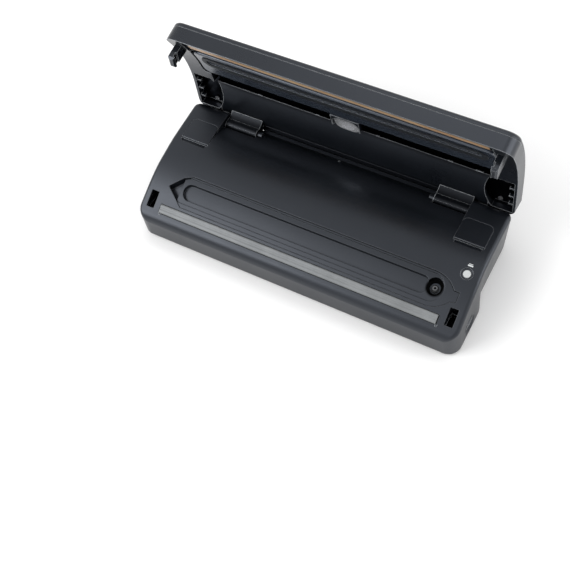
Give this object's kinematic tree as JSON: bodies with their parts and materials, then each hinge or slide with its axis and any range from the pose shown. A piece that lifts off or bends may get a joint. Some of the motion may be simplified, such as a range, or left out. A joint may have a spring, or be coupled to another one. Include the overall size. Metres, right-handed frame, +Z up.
{
  "type": "vacuum sealer",
  "caption": "Countertop vacuum sealer with its hinged lid open: sealing strip and drip tray on the sloped deck, gasket and heat bar inside the lid, latch hooks and buttons.",
  "frame": {"origin": "on the worktop under the middle of the base's length and depth", "axes": "+X to the right along the length, +Y to the hinge side, +Z up"},
  "size_m": [0.373, 0.1696, 0.1893],
  "materials": {
    "charcoal_shell": "fine textured moulding",
    "charcoal_trim": "satin moulding",
    "gloss_black": "gloss",
    "black_rubber": "matt",
    "grey_silicone": "satin",
    "screw_steel": "zinc plated",
    "spring_steel": "drawn wire",
    "nozzle_plastic": "moulded",
    "motor_can": "pressed steel",
    "core_iron": "stacked sheet",
    "copper_winding": "enamelled copper wire",
    "board_green": "lacquered board",
    "component_black": "moulded",
    "white_button": "satin",
    "key_grey": "satin",
    "tan_tape": "coated glass cloth",
    "indicator_green": "translucent"
  },
  "bodies": {
    "base": {"base_housing": "charcoal_shell", "base_cover": "charcoal_shell", "rubber_feet": "black_rubber", "base_screws": "screw_steel", "sealing_strip": "grey_silicone", "drip_tray": "charcoal_trim", "nozzle_grommet": "black_rubber", "vacuum_nozzle": "nozzle_plastic", "pump_body": "nozzle_plastic", "pump_motor": "motor_can", "pump_bracket": "motor_can", "vacuum_hose": "black_rubber", "transformer_core": "core_iron", "transformer_coil": "copper_winding", "control_board": "board_green", "board_parts": "component_black", "power_inlet": "component_black", "button_spring": "spring_steel", "canister_switch": "gloss_black", "left_deck_pad": "charcoal_trim", "right_deck_pad": "charcoal_trim", "switch_legend": "white_button", "left_hinge_pin": "screw_steel", "right_hinge_pin": "screw_steel", "left_release_spring": "spring_steel", "right_release_spring": "spring_steel"},
    "lid": {"lid_frame": "charcoal_shell", "lid_cover": "charcoal_shell", "lid_screws": "screw_steel", "gasket_plate": "charcoal_trim", "lid_gasket": "black_rubber", "heat_bar": "charcoal_trim", "heating_element": "screw_steel", "heater_tape": "tan_tape", "lid_dish": "gloss_black", "left_hook": "charcoal_trim", "right_hook": "charcoal_trim", "left_hinge_arm": "charcoal_trim", "right_hinge_arm": "charcoal_trim", "control_panel": "gloss_black", "indicator_lenses": "indicator_green", "panel_board": "board_green"},
    "canister_button": {"canister_button": "white_button"},
    "left_release": {"left_release_button": "charcoal_trim"},
    "right_release": {"right_release_button": "charcoal_trim"},
    "vacuum_key": {"vacuum_button": "key_grey"},
    "seal_key": {"seal_button": "key_grey"}
  },
  "joints": [
    {"name": "lid_hinge", "type": "hinge", "parent": "base", "child": "lid", "pos_m": [0, 0.0615, 0.052], "axis": [1, 0, 0], "range_deg": [0, 92.5]},
    {"name": "canister_button_press", "type": "slide", "parent": "base", "child": "canister_button", "axis": [0, 0.2091, -0.9779], "range_m": [0, 0.0015], "stiffness_N_per_m": 500, "springref_m": -0.001},
    {"name": "left_release_press", "type": "slide", "parent": "base", "child": "left_release", "axis": [1, 0, 0], "range_m": [0, 0.0025], "stiffness_N_per_m": 900, "springref_m": -0.001},
    {"name": "right_release_press", "type": "slide", "parent": "base", "child": "right_release", "axis": [-1, 0, 0], "range_m": [0, 0.0025], "stiffness_N_per_m": 900, "springref_m": -0.001},
    {"name": "vacuum_key_press", "type": "slide", "parent": "lid", "child": "vacuum_key", "axis": [0, -0.999, 0.0436], "range_m": [0, 0.001], "stiffness_N_per_m": 700, "springref_m": -0.0008},
    {"name": "seal_key_press", "type": "slide", "parent": "lid", "child": "seal_key", "axis": [0, -0.999, 0.0436], "range_m": [0, 0.001], "stiffness_N_per_m": 700, "springref_m": -0.0008}
  ]
}
